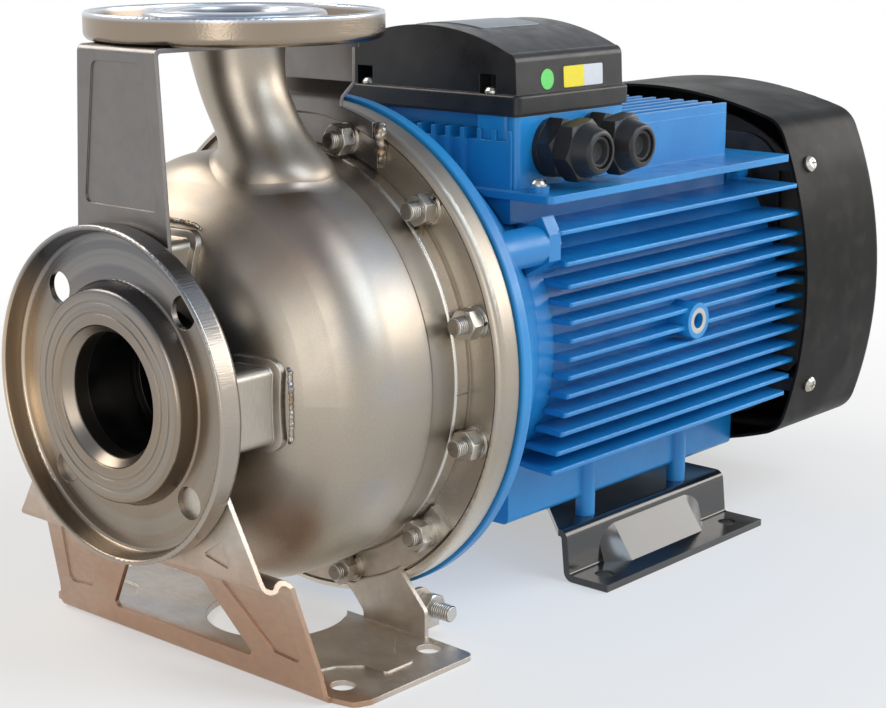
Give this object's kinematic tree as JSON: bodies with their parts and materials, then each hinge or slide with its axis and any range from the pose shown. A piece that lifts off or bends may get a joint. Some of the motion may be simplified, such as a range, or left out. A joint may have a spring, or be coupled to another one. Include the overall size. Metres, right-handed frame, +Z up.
{
  "type": "centrifugal pump",
  "caption": "End-suction centrifugal pump: pressed stainless casing, foot and flanges, close-coupled to a finned electric motor with a terminal box and fan cover.",
  "frame": {"origin": "centre of the pump foot's four bolt holes, on the base plane", "axes": "+Z up; the shaft runs along +Y from the suction flange to the fan; +X is the side with the cable glands"},
  "size_m": [0.299, 0.591, 0.36],
  "materials": {
    "stainless": "pressed stainless sheet, satin, welded",
    "stainless_machined": "turned stainless, fine rings",
    "steel_zinc": "zinc plated fasteners",
    "steel_shaft": "ground steel",
    "steel_bearing": "polished bearing steel",
    "blue_casting": "blue enamel on cast aluminium",
    "blue_iron": "blue enamel on cast iron",
    "dark_casting": "black enamel on cast aluminium",
    "black_sheet": "black satin enamel on pressed sheet",
    "black_plastic": "black moulded plastic",
    "grey_plastic": "moulded plastic",
    "black_rubber": "moulded rubber",
    "seal_ceramic": "lapped ceramic seal face",
    "seal_carbon": "lapped carbon seal face",
    "core_steel": "stacked electrical sheet",
    "winding": "varnished copper winding",
    "brass": "brass terminals",
    "blank_plate": "blank grey plate",
    "sticker": "blank printed film"
  },
  "bodies": {
    "housing": {"pump_casing": "stainless", "casing_flange": "stainless", "suction_flange": "stainless", "suction_pipe": "stainless", "discharge_flange": "stainless", "discharge_neck": "stainless", "flange_bracket": "stainless", "brace_top": "stainless", "brace_right": "stainless", "brace_left": "stainless", "pump_foot": "stainless", "jack_bolt": "steel_zinc", "jack_nut": "steel_zinc", "casing_studs": "steel_zinc", "casing_nuts": "steel_zinc", "lock_washers": "steel_zinc", "flat_washers": "steel_zinc", "casing_oring": "black_rubber", "back_cover": "stainless", "seal_seat": "seal_ceramic", "wear_ring": "stainless_machined", "front_bearing": "steel_bearing", "rear_bearing": "steel_bearing", "stator_core": "core_steel", "stator_windings": "winding", "motor_adapter": "blue_iron", "adapter_bolts": "steel_zinc", "motor_frame": "blue_casting", "motor_foot": "black_sheet", "motor_foot_screws": "steel_zinc", "rear_end_shield": "dark_casting", "shield_screws": "steel_zinc", "fan_cover": "black_sheet", "cover_screws": "steel_zinc", "terminal_box": "blue_casting", "lid_gasket": "black_rubber", "terminal_lid": "black_plastic", "lid_screws": "steel_zinc", "lid_plate": "blank_plate", "lid_stickers": "sticker", "terminal_block": "grey_plastic", "terminal_studs": "brass", "gland_bodies": "black_plastic", "gland_caps": "black_plastic", "gland_inserts": "black_rubber", "gland_locknuts": "black_plastic", "earth_screw": "steel_zinc"},
    "rotor": {"motor_shaft": "steel_shaft", "rotor_core": "core_steel", "shaft_key": "steel_shaft", "impeller": "stainless", "impeller_washer": "stainless_machined", "impeller_nut": "stainless_machined", "seal_ring": "seal_carbon", "seal_bellows": "black_rubber", "cooling_fan": "grey_plastic"}
  },
  "joints": [
    {"name": "shaft_turn", "type": "hinge", "parent": "housing", "child": "rotor", "pos_m": [0, 0.195, 0.16], "axis": [0, 1, 0], "continuous": true}
  ]
}
